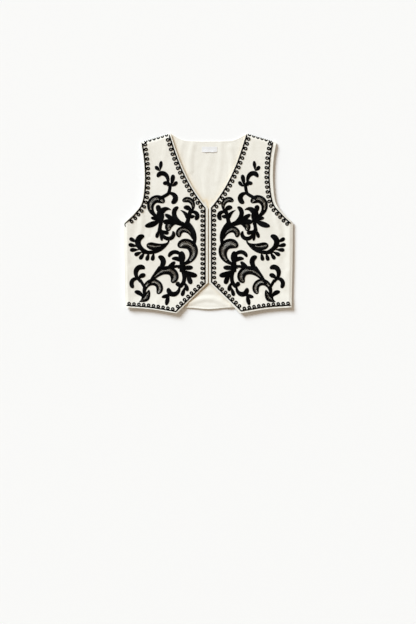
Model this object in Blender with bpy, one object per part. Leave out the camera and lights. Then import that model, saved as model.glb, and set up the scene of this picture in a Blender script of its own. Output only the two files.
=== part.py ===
"""A cream cloth vest laid flat, with black cord embroidery and looped braid.

Sizes are millimetres: u runs outward from the centre line, v runs from the
hem to the neck, and z is height above the surface that the vest lies on.
"""
import math

import bmesh
import bpy
from mathutils import Vector
from mathutils.bvhtree import BVHTree
from mathutils.geometry import delaunay_2d_cdt

MM = 0.001

# cloth and layers
BACK_WALL = 1.6
FRONT_WALL = 2.2
SEAM_GAP = 0.3
LAY_GAP = 2.8
THREAD_GAP = 0.3
SCROLL_HEIGHT = 1.2
BRAID_HEIGHT = 1.8
LABEL_SIZE = (44.0, 15.5, 1.0)
LABEL_PLACE = (3.0, 211.6)

# braid along the edges
CORD = 2.8
LOOP_HUB = 6.4
LOOP_HALF_WIDTH = 5.1
LOOP_HALF_DEPTH = 5.4
LOOP_FOOT = 3.0
LOOP_CORNERS = 6
LOOP_START = -40
LOOP_TURN = 52
LOOP_STEP = 13.2
CORD_END = 3.0

# how the sheets are cut and drawn
BACK_STEP = 22
FRONT_STEP = 18
STRAIGHT_STEPS = 4
NEARLY_STRAIGHT = 0.05
SHEET_REACH = 260
ROLL_OVERRUN = 30
ABOVE_ALL = 100
SMALL_HOLE = 45
CUT_WELD = 0.0001

# how far a point may lie off the line when it is dropped, and what counts as close by
SCROLL_DROP = (0.25, 1.5)
BRAID_DROP = (0.12, 0.8)
FEWEST_POINTS = 6

# steps along a stroke, up to each turn in degrees
STROKE_STEPS = ((60, 7), (130, 9), (360, 13))
SWELL_POWER = 1.5
TIP_WIDTH = 0.03

# the edge of one front, clockwise from the foot of the opening: place, u, v, whether it is
# a corner, the run that starts here, and how far inside the cord lies on each front
FRONT_EDGE = (
    ("foot", 1.5, -170, True, "opening", 8.4, 6.8),
    ("neck_corner", 1.5, 44, True, "neckline", 6.5, 5.0),
    ("neck_low", 20.6, 67, False, "neckline", 5.4, 4.5),
    ("neck_middle", 49, 110, False, "neckline", 5.2, 3.6),
    ("neck_high", 74, 160, False, "neckline", 5.2, 2.8),
    ("neck_top", 93, 210, False, "neckline", 5.2, 2.2),
    ("shoulder_neck", 108, 257, True, "shoulder", 2.2, 2.2),
    ("shoulder_end", 194, 231, True, "armhole", 3.4, 10.5),
    ("arm_high", 186, 180, False, "armhole", 3.2, 11.0),
    ("arm_middle", 184.5, 120, False, "armhole", 4.4, 11.0),
    ("arm_low", 191.5, 62, False, "armhole", 4.2, 9.0),
    ("arm_turn", 212, 30, False, "armhole", 3.8, 5.5),
    ("underarm", 241, 2, True, "side", 0, 0),
    ("side_middle", 240, -120, False, "side", 0, 0),
    ("side_foot", 237, -240, True, "hem", 5.6, 6.4),
    ("hem_middle", 166, -245, False, "hem", 4.6, 6.4),
    ("front_point", 91, -257, True, "slant", 5.2, 6.4),
)
PLAIN_RUNS = ("shoulder", "side")

# the edge of half of the back, clockwise from the middle of the hem
BACK_EDGE = (
    ("hem_centre", 0, -245, True, "hem"),
    ("neck_centre", 0, 235, True, "neckline"),
    ("neck_inner", 40, 235.5, False, "neckline"),
    ("neck_outer", 74, 239, False, "neckline"),
    ("shoulder_neck", 107.5, 255.8, True, "shoulder"),
    ("shoulder_end", 191, 230.5, True, "armhole"),
    ("arm_high", 182, 180, False, "armhole"),
    ("arm_middle", 181, 120, False, "armhole"),
    ("arm_low", 188, 60, False, "armhole"),
    ("arm_turn", 209, 27, False, "armhole"),
    ("underarm", 240, -1, True, "side"),
    ("side_middle", 239, -120, False, "side"),
    ("side_foot", 236, -239, True, "hem"),
    ("hem_low", 68, -240.5, False, "hem"),
)

# each front: name, direction of u, column of its cord insets, and the scale and
# shift of u that its embroidery is worked at
FRONTS = (
    ("front_right", -1, 5, 1.0, 0.0),
    ("front_left", 1, 6, 0.97, -0.8),
)

# the front comes down to the back at side and shoulder: distance in, share of the gap
ROLL = ((0, 0.0), (2.5, 0.0), (6, 0.7), (11, 1.0))

# both layers lift toward the hem: v, lift
LIFT = ((-200, 0.0), (-218, 0.6), (-236, 1.9), (-262, 3.9))

# soft folds: panel, from x, from y, to x, to y, height, half width
FOLDS = (
    ("front_right", -193, 34, -197, -34, 0.9, 12),
    ("front_right", -222, -128, -214, -196, 0.8, 11),
    ("front_left", 196, 40, 204, -24, 0.9, 13),
    ("front_left", 150, -206, 168, -238, 0.8, 11),
    ("front_right", -228, -247, -108, -260, 2.2, 26),
    ("back_panel", -50, -224, -10, -213, 1.6, 9),
    ("back_panel", -10, -213, 14, -230, 1.6, 8),
    ("back_panel", -52, 150, -44, 222, 0.9, 12),
    ("back_panel", 66, 120, 62, 214, 0.9, 13),
)

# strokes of the embroidery on one front
# name, form, base u, base v, tip u, tip v, turn, curl, width
SCROLLS = (
    ("sprig_top", "drop", 138, 151, 135, 179, 0, 1, 11),
    ("sprig_side", "drop", 139, 150, 152, 164, 15, 1, 12),
    ("crook_top", "hook", 117, 107, 144, 131, -200, 2, 14),
    ("crook_small", "hook", 109, 103, 129, 111, -150, 1, 12),
    ("stalk_upper", "stem", 115, 84, 110, 112, -25, 1, 10),
    ("bud_upper", "bulb", 108, 105, 101, 140, -15, 1, 13),
    ("bud_lower", "bulb", 109, 107, 91, 121, -80, 1, 11),
    ("vine_upper", "stem", 143, 70, 112, 87, -15, 1, 10),
    ("crook_right", "hook", 119, 85, 107, 61, 205, 1.5, 16),
    ("plume_high", "net", 148, 19, 129, 57, 220, 1.5, 23),
    ("plume_bud", "bulb", 138, 25, 144, 53, 25, 1, 15),
    ("plume_leaf", "leaf", 136, 22, 107, 38, 135, 1, 19),
    ("heart_upper", "drop", 133, -4, 139, 40, 10, 1, 23),
    ("fin_small", "drop", 136, 12, 165, 16, 0, 1, 12),
    ("fin_large", "drop", 133, 12, 182, -8, 25, 1, 17),
    ("blade_upper", "drop", 92, -1, 125, 26, -25, 1, 14),
    ("swan_upper", "hook", 58, -9, 85, 46, 150, 2.5, 14),
    ("vine_heart", "vine", 50, -18, 130, 3, -55, 1, 15),
    ("shell_net", "net", 82, 1, 109, -19, -165, 2, 22),
    ("cap_stalk", "stem", 60, -8, 50, 38, 25, 1, 12),
    ("cap_net", "net", 49, 32, 73, 61, -180, 1.5, 16),
    ("cap_bud", "drop", 51, 31, 71, 43, -130, 1, 15),
    ("cap_leaf", "hook", 57, 29, 40, 12, 205, 1.5, 13),
    ("cap_small", "drop", 60, 17, 39, 21, 0, 1, 11),
    ("cap_spike", "leaf", 56, 5, 81, 38, -65, 1, 15),
    ("vine_middle", "vine", 43, -66, 67, 5, -75, 1, 14),
    ("curl_net", "net", 45, -44, 80, -38, -218, 2, 19),
    ("cup_upper", "hook", 136, 1, 103, -22, -230, 2, 12),
    ("cup_bud", "bulb", 136, -17, 113, -26, -70, 1, 13),
    ("drop_bar", "stem", 136, 4, 141, -24, 0, 1, 11),
    ("drop_left", "bulb", 139, -16, 148, -42, -25, 1, 11),
    ("drop_right", "bulb", 140, -20, 133, -50, 5, 1, 9),
    ("thread", "stem", 111, -40, 123, -64, 40, 1, 5),
    ("paisley", "paisley", 112, -52, 177, -60, 65, 1, 23),
    ("wing_tail", "vine", 115, -54, 193, -79, 75, 1, 11),
    ("wing_hook", "hook", 166, -83, 183, -38, 185, 2, 17),
    ("feather_1", "bulb", 203, -55, 226, -42, 0, 1, 12),
    ("feather_2", "bulb", 202, -66, 229, -60, 0, 1, 12),
    ("feather_3", "bulb", 199, -75, 225, -76, 0, 1, 12),
    ("feather_4", "bulb", 190, -81, 212, -91, 0, 1, 12),
    ("feather_5", "bulb", 182, -82, 197, -103, 0, 1, 12),
    ("feather_6", "bulb", 170, -83, 177, -107, 0, 1, 12),
    ("feather_7", "bulb", 156, -83, 161, -107, 0, 1, 12),
    ("plume_low", "net", 72, -117, 84, -70, -225, 1.5, 29),
    ("crown_up", "drop", 75, -122, 77, -79, 0, 1, 21),
    ("crown_over", "hook", 72, -110, 113, -97, -170, 1.5, 12),
    ("crown_low", "drop", 74, -119, 105, -102, -105, 1, 13),
    ("crown_stalk", "stem", 76, -96, 76, -140, 0, 1, 14),
    ("palm_high", "bulb", 88, -128, 44, -126, 0, 1, 14),
    ("palm_middle", "bulb", 80, -127, 32, -149, -45, 1, 16),
    ("palm_low", "bulb", 66, -139, 50, -174, 20, 1, 15),
    ("band_low", "vine", 66, -121, 133, -131, -15, 1, 9),
    ("blade_low", "bulb", 127, -133, 95, -109, -15, 1, 12),
    ("swan_low", "hook", 148, -138, 144, -98, -165, 2.5, 16),
    ("swan_stem", "vine", 172, -172, 138, -122, 0, 1, 8),
    ("shell_low", "net", 169, -170, 108, -166, 220, 2.5, 25),
    ("tail_upper", "vine", 82, -126, 85, -182, 105, 1.5, 12),
    ("tail_bud", "bulb", 78, -184, 92, -168, 0, 1, 14),
    ("tail_hook", "hook", 83, -176, 112, -184, 215, 1.5, 15),
    ("seed_left", "bulb", 71, -166, 61, -194, 35, 1, 12),
    ("seed_right", "bulb", 67, -180, 76, -208, 0, 1, 12),
    ("foot_side", "drop", 103, -203, 134, -211, 0, 1, 12),
    ("foot_down", "drop", 113, -202, 121, -228, 0, 1, 12),
    ("root_net", "net", 183, -208, 148, -200, 250, 1.5, 20),
    ("root_stalk", "stem", 183, -182, 196, -160, 0, 1, 9),
    ("root_hook", "hook", 193, -166, 213, -184, -215, 1, 13),
    ("tuft_hook", "hook", 195, -168, 183, -131, 195, 2, 15),
    ("tuft_bud", "bulb", 198, -163, 180, -150, 130, 1, 14),
    ("root_leaf", "drop", 188, -214, 212, -196, -90, 1, 14),
    ("root_blade", "net_leaf", 198, -220, 170, -189, -65, 1, 25),
)

# widths along a stroke: share at the base, place of the full width, place where
# the end starts to close, roundness of the end
FORMS = {
    "drop": (0.22, 0.62, 0.55, 2.0),
    "bulb": (0.22, 0.72, 0.72, 2.0),
    "leaf": (0.35, 0.45, 0.30, 1.15),
    "hook": (0.35, 0.66, 0.80, 2.0),
    "net": (0.30, 0.64, 0.80, 2.0),
    "net_leaf": (0.10, 0.55, 0.40, 1.3),
    "paisley": (0.12, 0.85, 0.72, 2.0),
    "stem": (1.0, 0.5, 0.93, 2.0),
    "vine": (0.55, 0.5, 0.90, 2.0),
}


def steps(table, value):
    """Read a two-column table with straight lines between its rows."""
    rows = sorted(table)
    if value <= rows[0][0]:
        return rows[0][1]
    for (x0, y0), (x1, y1) in zip(rows, rows[1:]):
        if value <= x1:
            return y0 + (y1 - y0) * (value - x0) / (x1 - x0)
    return rows[-1][1]


def smooth_run(rows, step):
    """Sample a soft curve through the rows of one run, its last point left out.

    Each row is a point and a value, and the value changes evenly between rows.
    """
    out = []
    points = [point for point, _ in rows]
    if len(points) == 2:
        step *= STRAIGHT_STEPS
    for i in range(len(points) - 1):
        p1, p2 = points[i], points[i + 1]
        p0 = points[i - 1] if i > 0 else p1 * 2 - p2
        p3 = points[i + 2] if i + 2 < len(points) else p2 * 2 - p1
        count = max(1, round((p2 - p1).length / step))
        for k in range(count):
            t = k / count
            bend = (p0 * 2 - p1 * 5 + p2 * 4 - p3) * t * t
            turn = (p1 * 3 - p0 - p2 * 3 + p3) * t * t * t
            point = (p1 * 2 + (p2 - p0) * t + bend + turn) * 0.5
            out.append((point, rows[i][1] + (rows[i + 1][1] - rows[i][1]) * t))
    return out


def edge_runs(table, step, column=None):
    """Turn an edge table into rows of point, run and the column's value there."""
    corners = [i for i, row in enumerate(table) if row[3]]
    closed = list(table) + [table[0]]
    out = []
    for start, stop in zip(corners, corners[1:] + [len(table)]):
        values = [row[column] if column else 0 for row in closed[start:stop]]
        values.append(values[-1])
        rows = [(Vector((row[1], row[2])), value)
                for row, value in zip(closed[start:stop + 1], values)]
        out += [(point, table[start][4], value) for point, value in smooth_run(rows, step)]
    return out


def inward(a, b):
    """Unit vector to the right of the way from a to b."""
    d = (b - a).normalized()
    return Vector((d.y, -d.x))


def inset(points, offsets):
    """Move an open line inward, with its own offset for each segment."""
    normals = [inward(a, b) for a, b in zip(points, points[1:])]
    out = [points[0] + normals[0] * offsets[0]]
    for i in range(1, len(points) - 1):
        n1, n2 = normals[i - 1], normals[i]
        d1, d2 = offsets[i - 1], offsets[i]
        cross = n1.x * n2.y - n1.y * n2.x
        if abs(cross) < NEARLY_STRAIGHT:
            out.append(points[i] + (n1 + n2).normalized() * (d1 + d2) / 2)
            continue
        x = (d1 * n2.y - d2 * n1.y) / cross
        y = (d2 * n1.x - d1 * n2.x) / cross
        out.append(points[i] + Vector((x, y)))
    out.append(points[-1] + normals[-1] * offsets[-1])
    return out


def line_distance(p, a, b):
    """Distance of a point from the segment a to b."""
    d = b - a
    t = max(0.0, min(1.0, (p - a).dot(d) / d.length_squared))
    return (p - a - d * t).length


def within(p, loops):
    """Even-odd test of a point against closed loops."""
    inside = False
    for loop in loops:
        for a, b in zip(loop, loop[1:] + loop[:1]):
            if (a.y > p.y) != (b.y > p.y):
                if p.x < a.x + (b.x - a.x) * (p.y - a.y) / (b.y - a.y):
                    inside = not inside
    return inside


def winding(p, loop):
    """How often a closed loop goes round a point."""
    turns = 0
    for a, b in zip(loop, loop[1:] + loop[:1]):
        if (a.y <= p.y) != (b.y <= p.y):
            side = (b.x - a.x) * (p.y - a.y) - (b.y - a.y) * (p.x - a.x)
            if b.y > a.y and side > 0:
                turns += 1
            if b.y <= a.y and side < 0:
                turns -= 1
    return turns


def triangulate(points, edges, keep):
    """Triangles between the points along the edges, where keep says so."""
    points, _, faces, _, _, _ = delaunay_2d_cdt(points, edges, [], 0, CUT_WELD)
    kept = []
    for face in faces:
        a, b, c = (points[i] for i in face)
        if keep((a + b + c) / 3):
            kept.append(tuple(face))
    used = sorted({i for face in kept for i in face})
    place = {old: new for new, old in enumerate(used)}
    return [points[i] for i in used], [tuple(place[i] for i in f) for f in kept]


def rim(faces):
    """Directed edges that belong to one face only."""
    sides = {(f[i], f[(i + 1) % 3]) for f in faces for i in range(3)}
    return [(a, b) for a, b in sides if (b, a) not in sides]


def merge(shapes):
    """Closed loops round the union of overlapping closed shapes."""
    points, edges = [], []
    for shape in shapes:
        first = len(points)
        points += shape
        edges += [(first + i, first + (i + 1) % len(shape)) for i in range(len(shape))]
    boxes = []
    for shape in shapes:
        xs, ys = [p.x for p in shape], [p.y for p in shape]
        boxes.append((min(xs), max(xs), min(ys), max(ys)))

    def covered(p):
        for shape, (x0, x1, y0, y1) in zip(shapes, boxes):
            if x0 <= p.x <= x1 and y0 <= p.y <= y1 and winding(p, shape):
                return True
        return False

    points, faces = triangulate(points, edges, covered)
    follow = dict(rim(faces))
    loops = []
    while follow:
        start, here = follow.popitem()
        loop = [points[start]]
        while here != start:
            loop.append(points[here])
            here = follow.pop(here)
        loops.append(loop)
    return loops


def area(loop):
    return sum(a.x * b.y - a.y * b.x for a, b in zip(loop, loop[1:] + loop[:1])) / 2


def thin_out(loop, off_line, short):
    """Drop points that hardly bend a closed loop."""
    loop = list(loop)
    dropped = True
    while dropped and len(loop) > FEWEST_POINTS:
        dropped = False
        i = 0
        while i < len(loop) and len(loop) > FEWEST_POINTS:
            a, p, b = loop[i - 1], loop[i], loop[(i + 1) % len(loop)]
            bend = line_distance(p, a, b)
            if bend < off_line or ((p - a).length < short and bend < off_line * 3):
                loop.pop(i)
                dropped = True
                i += 1
            i += 1
    return loop


def tidy_loops(loops, off_line, short):
    """Thin out loops, and close the holes that are too small to show."""
    thin = [thin_out(loop, off_line, short) for loop in loops]
    return [loop for loop in thin if abs(area(loop)) > SMALL_HOLE]


def fold_height(panel, p):
    """Height that the panel's folds add at a point."""
    total = 0.0
    for name, x0, y0, x1, y1, height, half_width in FOLDS:
        if name == panel:
            away = line_distance(p, Vector((x0, y0)), Vector((x1, y1)))
            total += height * max(0.0, 1 - away / half_width)
    return total


def fold_lines(panel):
    """The ridge of each of the panel's folds, and the line round its foot."""
    lines = []
    for name, x0, y0, x1, y1, _, half_width in FOLDS:
        if name != panel:
            continue
        a, b = Vector((x0, y0)), Vector((x1, y1))
        along = (b - a).normalized() * half_width
        across = Vector((-along.y, along.x))
        foot = [a + across, b + across, b + along, b - across, a - across, a - along]
        lines += [[a, b], foot + foot[:1]]
    return lines


def panel_sheet(panel, outline, extra_lines):
    """Triangulate a panel along its outline, its folds and the lines of the lift."""
    points = list(outline)
    edges = [(i, (i + 1) % len(outline)) for i in range(len(outline))]
    lift_lines = [[Vector((-SHEET_REACH, v)), Vector((SHEET_REACH, v))] for v, _ in LIFT[:-1]]
    for line in lift_lines + fold_lines(panel) + extra_lines:
        first = len(points)
        points += line
        edges += [(first + i, first + i + 1) for i in range(len(line) - 1)]
    return triangulate(points, edges, lambda p: within(p, [outline]))


def closed_body(name, points, heights, faces, thick, material):
    """Give a triangulated sheet its thickness by extruding it straight up."""
    bm = bmesh.new()
    verts = [bm.verts.new((p.x * MM, p.y * MM, z * MM)) for p, z in zip(points, heights)]
    for face in faces:
        bm.faces.new([verts[i] for i in face])
    loose = [v for v in bm.verts if not v.link_faces]
    bmesh.ops.delete(bm, geom=loose, context="VERTS")
    grown = bmesh.ops.extrude_face_region(bm, geom=bm.faces[:], use_keep_orig=True)
    top = [g for g in grown["geom"] if isinstance(g, bmesh.types.BMVert)]
    bmesh.ops.translate(bm, verts=top, vec=(0, 0, thick * MM))
    bmesh.ops.recalc_face_normals(bm, faces=bm.faces[:])
    bmesh.ops.triangulate(bm, faces=bm.faces[:])
    mesh = bpy.data.meshes.new(name)
    bm.to_mesh(mesh)
    bm.free()
    mesh.materials.append(material)
    body = bpy.data.objects.new(name, mesh)
    vest.objects.link(body)
    return body


def largest_group(faces):
    """The largest set of faces that are joined along edges."""
    neighbours = {}
    for n, face in enumerate(faces):
        for i in range(3):
            neighbours.setdefault(frozenset((face[i], face[i - 1])), []).append(n)
    left, best = set(range(len(faces))), []
    while left:
        queue, group = [left.pop()], []
        while queue:
            face = faces[queue.pop()]
            group.append(face)
            for i in range(3):
                for m in neighbours[frozenset((face[i], face[i - 1]))]:
                    if m in left:
                        left.remove(m)
                        queue.append(m)
        best = max(best, group, key=len)
    return best


def laid_on(name, loops, sheet, thick, finish):
    """Lay closed outlines on a front, cut along its facets and just above it."""
    sheet_points, sheet_heights, sheet_faces = sheet
    under = [(p.x, p.y, z) for p, z in zip(sheet_points, sheet_heights)]
    tree = BVHTree.FromPolygons(under, sheet_faces)
    points, edges = [], []
    for loop in loops:
        first = len(points)
        points += loop
        edges += [(first + i, first + (i + 1) % len(loop)) for i in range(len(loop))]
    first = len(points)
    points += sheet_points
    for face in sheet_faces:
        edges += [(first + face[i], first + face[i - 1]) for i in range(3)]
    points, faces = triangulate(points, edges, lambda p: within(p, loops))
    faces = largest_group(faces)
    heights = []
    for p in points:
        hit = tree.ray_cast(Vector((p.x, p.y, ABOVE_ALL)), Vector((0, 0, -1)))[0]
        heights.append(hit.z + FRONT_WALL + THREAD_GAP)
    return closed_body(name, points, heights, faces, thick, finish)


def stroke(base, tip, turn, curl, form, width, count):
    """Outline of one stroke: its middle line turns on its way, its width swells."""
    middle = [complex(0, 0)]
    for i in range(count):
        heading = math.radians(turn) * ((i + 0.5) / count) ** curl
        middle.append(middle[-1] + complex(math.cos(heading), math.sin(heading)))
    fit = (complex(*tip) - complex(*base)) / middle[-1]
    middle = [m * fit + complex(*base) for m in middle]
    start, full, closing, roundness = FORMS[form]
    left, right = [], []
    for i, m in enumerate(middle):
        t = i / count
        swell = start + (1 - start) * math.sin(math.pi / 2 * min(1, t / full)) ** SWELL_POWER
        k = max(0.0, (t - closing) / (1 - closing))
        shut = TIP_WIDTH + (1 - TIP_WIDTH) * max(0.0, 1 - k ** roundness) ** (1 / roundness)
        ahead, behind = middle[min(i + 1, count)], middle[max(i - 1, 0)]
        across = (ahead - behind) / abs(ahead - behind) * 1j * swell * shut * width / 2
        left.append(Vector(((m + across).real, (m + across).imag)))
        right.append(Vector(((m - across).real, (m - across).imag)))
    return left + right[::-1]


def scroll_loops():
    """Outlines of the whole embroidery of one front, its strokes run together."""
    shapes = []
    for _, form, bu, bv, tu, tv, turn, curl, width in SCROLLS:
        count = next(number for limit, number in STROKE_STEPS if abs(turn) < limit)
        shapes.append(stroke((bu, bv), (tu, tv), turn, curl, form, width, count))
    return tidy_loops(merge(shapes), *SCROLL_DROP)


def loop_shape():
    """Outline of one loop of cord, along the edge and inward, closed over its hole."""
    arc = [math.radians(LOOP_START + LOOP_TURN * k) for k in range(LOOP_CORNERS)]
    oval = [(math.cos(a) * LOOP_HALF_WIDTH, LOOP_HUB + math.sin(a) * LOOP_HALF_DEPTH) for a in arc]
    return [(LOOP_FOOT, 0)] + oval + [(-LOOP_FOOT, 0)]


def braid_loops(edge):
    """The cord along the edges of a front, with a loop inside it at every step."""
    first = [run for _, run, _ in edge].index("hem")
    stretch = [row for row in edge[first:] + edge[:first] if row[1] != "side"]
    underarm = next(point for point, run, _ in edge if run == "side")
    points = [point for point, _, _ in stretch] + [underarm]
    points[0] = points[0] + (points[1] - points[0]).normalized() * CORD_END
    points[-1] = points[-1] + (points[-2] - points[-1]).normalized() * CORD_END
    insets = [value for _, _, value in stretch]
    middle = inset(points, insets)
    outer = inset(points, [d - CORD / 2 for d in insets])
    inner = inset(points, [d + CORD / 2 for d in insets])
    shapes = [outer + inner[::-1]]
    whole = [point for point, _, _ in edge]
    wait = LOOP_STEP / 2
    for a, b, (_, run, _) in zip(middle, middle[1:], stretch):
        length, along, across = (b - a).length, (b - a).normalized(), inward(a, b)
        while wait < length:
            loop = [a + along * (wait + x) + across * y for x, y in loop_shape()]
            if run not in PLAIN_RUNS and all(within(p, [whole]) for p in loop):
                shapes.append(loop)
            wait += LOOP_STEP
        wait -= length
    return tidy_loops(merge(shapes), *BRAID_DROP)


def material(name, colour, rough):
    made = bpy.data.materials.new(name)
    made.use_nodes = True
    shader = made.node_tree.nodes["Principled BSDF"]
    shader.inputs["Base Color"].default_value = (*colour, 1)
    shader.inputs["Roughness"].default_value = rough
    made.diffuse_color = (*colour, 1)
    return made


def build_back():
    """The back panel: both halves of its edge, joined at the middle of neck and hem."""
    half = [point for point, _, _ in edge_runs(BACK_EDGE, BACK_STEP)]
    hem_centre = half[0]
    upper = half[half.index(Vector((0, BACK_EDGE[1][2]))):]
    mirrored = [Vector((-p.x, p.y)) for p in reversed(upper[1:])]
    outline = upper + [hem_centre] + mirrored
    points, faces = panel_sheet("back_panel", outline, [])
    heights = [steps(LIFT, p.y) + fold_height("back_panel", p) for p in points]
    closed_body("back_panel", points, heights, faces, BACK_WALL, cream)


def build_front(name, side, inset_column, scroll_scale, scroll_shift):
    """One front panel with its embroidery and its braid."""
    edge = edge_runs(FRONT_EDGE, FRONT_STEP, inset_column)
    seams = []
    for seam_run in ("side", "shoulder"):
        seam = [i for i, row in enumerate(edge) if row[1] == seam_run]
        seams.append([edge[i][0] for i in seam + [(seam[-1] + 1) % len(edge)]])
    roll_lines = []
    for seam in seams:
        for distance, _ in ROLL[1:]:
            line = inset(seam, [distance] * (len(seam) - 1))
            before = line[0] + (line[0] - line[1]).normalized() * ROLL_OVERRUN
            after = line[-1] + (line[-1] - line[-2]).normalized() * ROLL_OVERRUN
            roll_lines.append([before] + line + [after])

    def placed(points):
        return [Vector((p.x * side, p.y)) for p in points]

    outline = placed([point for point, _, _ in edge])
    points, faces = panel_sheet(name, outline, [placed(line) for line in roll_lines])
    heights = []
    for p in points:
        q = Vector((abs(p.x), p.y))
        away = min(line_distance(q, a, b) for seam in seams for a, b in zip(seam, seam[1:]))
        share = steps(ROLL, away)
        raised = (LAY_GAP - SEAM_GAP + fold_height(name, p)) * share
        heights.append(BACK_WALL + steps(LIFT, p.y) + SEAM_GAP + raised)
    closed_body(name, points, heights, faces, FRONT_WALL, cream)
    sheet = (points, heights, faces)
    scrolls = [placed([Vector((p.x * scroll_scale + scroll_shift, p.y)) for p in loop])
               for loop in scroll_loops()]
    braid = [placed(loop) for loop in braid_loops(edge)]
    laid_on(name.replace("front", "embroidery"), scrolls, sheet, SCROLL_HEIGHT, black)
    laid_on(name.replace("front", "braid"), braid, sheet, BRAID_HEIGHT, black)


def build_label():
    """A blank tape sewn inside the back of the neck."""
    bpy.ops.mesh.primitive_cube_add(size=1)
    label = bpy.context.active_object
    label.name = "label"
    label.data.name = "label"
    middle = BACK_WALL + THREAD_GAP + LABEL_SIZE[2] / 2
    for corner in label.data.vertices:
        x, y, z = corner.co
        corner.co = (MM * (x * LABEL_SIZE[0] + LABEL_PLACE[0]),
                     MM * (y * LABEL_SIZE[1] + LABEL_PLACE[1]),
                     MM * (z * LABEL_SIZE[2] + middle))
    label.data.materials.append(white)
    for home in list(label.users_collection):
        home.objects.unlink(label)
    vest.objects.link(label)


for old in list(bpy.data.objects):
    bpy.data.objects.remove(old, do_unlink=True)

vest = bpy.data.collections.new("embroidered_vest")
bpy.context.scene.collection.children.link(vest)
cream = material("cream_cloth", (0.86, 0.82, 0.70), 0.85)
black = material("black_thread", (0.012, 0.012, 0.013), 0.6)
white = material("label_tape", (0.90, 0.87, 0.81), 0.7)

build_back()
for row in FRONTS:
    build_front(*row)
build_label()
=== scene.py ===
"""The looks of the embroidered vest: wool cloth, corded embroidery and looped braid.

Tables are in millimetres, as in the part's source: u runs outward from the centre
line, v from the hem to the neck, and z up from the board that the vest lies on.
"""
import math

import bmesh
import bpy
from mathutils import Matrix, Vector, noise
from mathutils.bvhtree import BVHTree
from mathutils.kdtree import KDTree


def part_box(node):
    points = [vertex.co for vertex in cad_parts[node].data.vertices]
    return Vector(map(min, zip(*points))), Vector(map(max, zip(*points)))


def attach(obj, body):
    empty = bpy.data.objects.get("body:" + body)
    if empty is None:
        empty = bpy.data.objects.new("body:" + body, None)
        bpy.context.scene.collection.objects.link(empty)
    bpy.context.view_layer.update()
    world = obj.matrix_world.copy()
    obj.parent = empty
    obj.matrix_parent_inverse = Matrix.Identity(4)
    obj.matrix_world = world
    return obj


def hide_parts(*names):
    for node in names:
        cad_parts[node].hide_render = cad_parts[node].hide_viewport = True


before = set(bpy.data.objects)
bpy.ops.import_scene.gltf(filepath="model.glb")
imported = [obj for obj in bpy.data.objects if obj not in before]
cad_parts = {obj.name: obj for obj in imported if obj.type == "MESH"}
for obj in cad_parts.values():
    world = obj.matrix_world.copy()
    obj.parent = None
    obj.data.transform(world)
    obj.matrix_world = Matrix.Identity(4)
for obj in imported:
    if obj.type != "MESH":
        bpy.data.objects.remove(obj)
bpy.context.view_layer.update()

MM = 0.001

# cloth and layers, as in the solids
BACK_WALL = 1.6
FRONT_WALL = 2.2
SEAM_GAP = 0.3
LAY_GAP = 2.8

# the edge of one front, clockwise from the foot of the opening: place, u, v, whether it
# is a corner, the run that starts here, and how far inside the cord lies on each front
FRONT_EDGE = (
    ("foot", 1.5, -170, True, "opening", 8.4, 6.8),
    ("neck_corner", 1.5, 44, True, "neckline", 6.5, 5.0),
    ("neck_low", 20.6, 67, False, "neckline", 5.4, 4.5),
    ("neck_middle", 49, 110, False, "neckline", 5.2, 3.6),
    ("neck_high", 74, 160, False, "neckline", 5.2, 2.8),
    ("neck_top", 93, 210, False, "neckline", 5.2, 2.2),
    ("shoulder_neck", 108, 257, True, "shoulder", 2.2, 2.2),
    ("shoulder_end", 194, 231, True, "armhole", 3.4, 10.5),
    ("arm_high", 186, 180, False, "armhole", 3.2, 11.0),
    ("arm_middle", 184.5, 120, False, "armhole", 4.4, 11.0),
    ("arm_low", 191.5, 62, False, "armhole", 4.2, 9.0),
    ("arm_turn", 212, 30, False, "armhole", 3.8, 5.5),
    ("underarm", 241, 2, True, "side", 0, 0),
    ("side_middle", 240, -120, False, "side", 0, 0),
    ("side_foot", 237, -240, True, "hem", 5.6, 6.4),
    ("hem_middle", 166, -245, False, "hem", 4.6, 6.4),
    ("front_point", 91, -257, True, "slant", 5.2, 6.4),
)

# the edge of half of the back, clockwise from the middle of the hem: place, u, v
BACK_EDGE = (
    ("hem_centre", 0, -245),
    ("neck_centre", 0, 235),
    ("neck_inner", 40, 235.5),
    ("neck_outer", 74, 239),
    ("shoulder_neck", 107.5, 255.8),
    ("shoulder_end", 191, 230.5),
    ("arm_high", 182, 180),
    ("arm_middle", 181, 120),
    ("arm_low", 188, 60),
    ("arm_turn", 209, 27),
    ("underarm", 240, -1),
    ("side_middle", 239, -120),
    ("side_foot", 236, -239),
    ("hem_low", 68, -240.5),
)

# each front: hand, side, column of FRONT_EDGE for its cord, scale and shift of its
# embroidery, and the way its line cord goes on around the underarm
FRONTS = (
    ("right", -1, 5, 1.0, 0.0, ((239.2, -1.5), (238.4, -5.5), (236.8, -10.0))),
    ("left", 1, 6, 0.97, -0.8, ()),
)

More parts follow.
